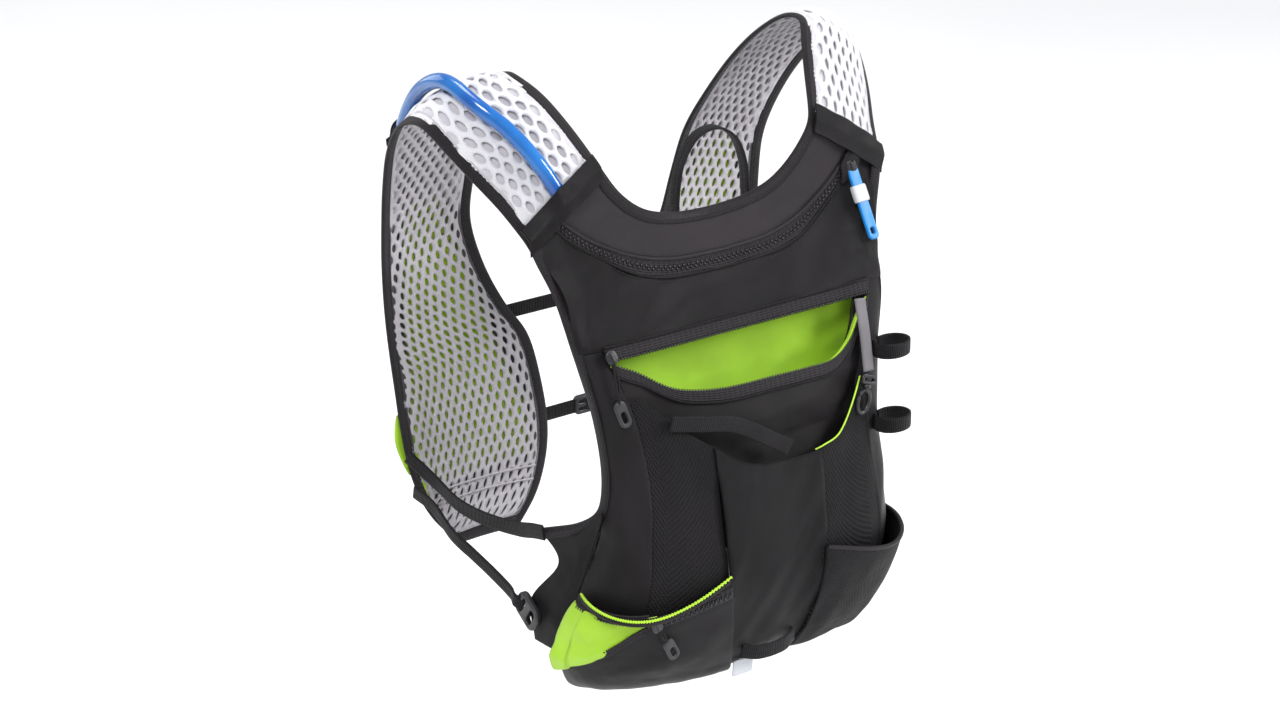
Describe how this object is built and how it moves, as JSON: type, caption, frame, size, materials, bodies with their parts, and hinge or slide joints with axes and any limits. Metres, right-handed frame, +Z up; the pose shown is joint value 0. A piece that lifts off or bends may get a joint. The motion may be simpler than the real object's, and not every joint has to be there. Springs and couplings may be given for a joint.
{
  "type": "running hydration vest",
  "caption": "Running vest with padded open mesh straps, zipped and stretch back pockets, side pockets, sternum and side straps, a snap hook and a drink tube.",
  "frame": {"origin": "midway between the two shoulder straps, at the height where they sit on the shoulders", "axes": "+X the wearer's right, +Y forward from the back to the chest, +Z up"},
  "size_m": [0.33, 0.261, 0.3889],
  "materials": {
    "lining": "matte knit",
    "white_mesh": "matte open spacer mesh",
    "grey_mesh": "matte open spacer mesh",
    "lime_cloth": "satin thin cloth",
    "binding": "matte folded edge tape",
    "charcoal_cloth": "matte woven",
    "black_cloth": "satin woven",
    "ribbed_mesh": "matte ribbed stretch mesh",
    "zip_tape": "satin coil zip",
    "webbing": "matte webbing",
    "grey_webbing": "matte webbing",
    "plastic": "satin moulded",
    "blue_rubber": "satin",
    "grey_sleeve": "matte",
    "reflective_tape": "satin reflective",
    "tube": "gloss translucent"
  },
  "bodies": {
    "root": {"harness_right": "lining", "harness_left": "lining", "shoulder_mesh_right": "white_mesh", "shoulder_mesh_left": "white_mesh", "panel_mesh_right": "grey_mesh", "panel_mesh_left": "grey_mesh", "front_pocket_right": "black_cloth", "front_pocket_left": "black_cloth", "neck_binding": "binding", "arm_binding_right": "binding", "arm_binding_left": "binding", "back_panel": "grey_mesh", "yoke_panel": "charcoal_cloth", "reservoir_zip": "zip_tape", "upper_panel": "black_cloth", "zip_pocket_upper_tape": "zip_tape", "zip_pocket_lower_tape": "zip_tape", "zip_pocket_front": "black_cloth", "zip_pocket_lining": "lime_cloth", "centre_panel": "black_cloth", "stretch_mesh_right": "ribbed_mesh", "stretch_mesh_left": "ribbed_mesh", "side_gusset_right": "ribbed_mesh", "side_gusset_left": "ribbed_mesh", "side_pocket_right": "ribbed_mesh", "side_pocket_left": "ribbed_mesh", "wing_zip": "zip_tape", "wing_pocket_lower": "black_cloth", "wing_pocket_lining": "lime_cloth", "wing_right": "black_cloth", "wing_left": "black_cloth", "shoulder_seam_right": "binding", "shoulder_seam_left": "binding", "hang_loop": "webbing", "key_tether": "grey_webbing", "key_hook": "plastic", "reservoir_pull": "blue_rubber", "pull_sleeve": "grey_sleeve", "zip_slider": "plastic", "zip_pull": "plastic", "wing_pull": "plastic", "compression_band": "webbing", "flask_loop_upper": "webbing", "flask_loop_lower": "webbing", "light_loop": "webbing", "reflective_tab": "reflective_tape", "drink_tube": "tube", "bite_valve": "blue_rubber", "tube_keeper_upper": "webbing", "tube_keeper_lower": "webbing", "sternum_strap_upper": "webbing", "sternum_strap_lower": "webbing", "side_strap_upper_right": "webbing", "side_strap_upper_left": "webbing", "side_strap_lower_right": "webbing", "side_strap_lower_left": "webbing", "ladder_lock_right": "plastic", "ladder_lock_left": "plastic"}
  },
  "joints": []
}
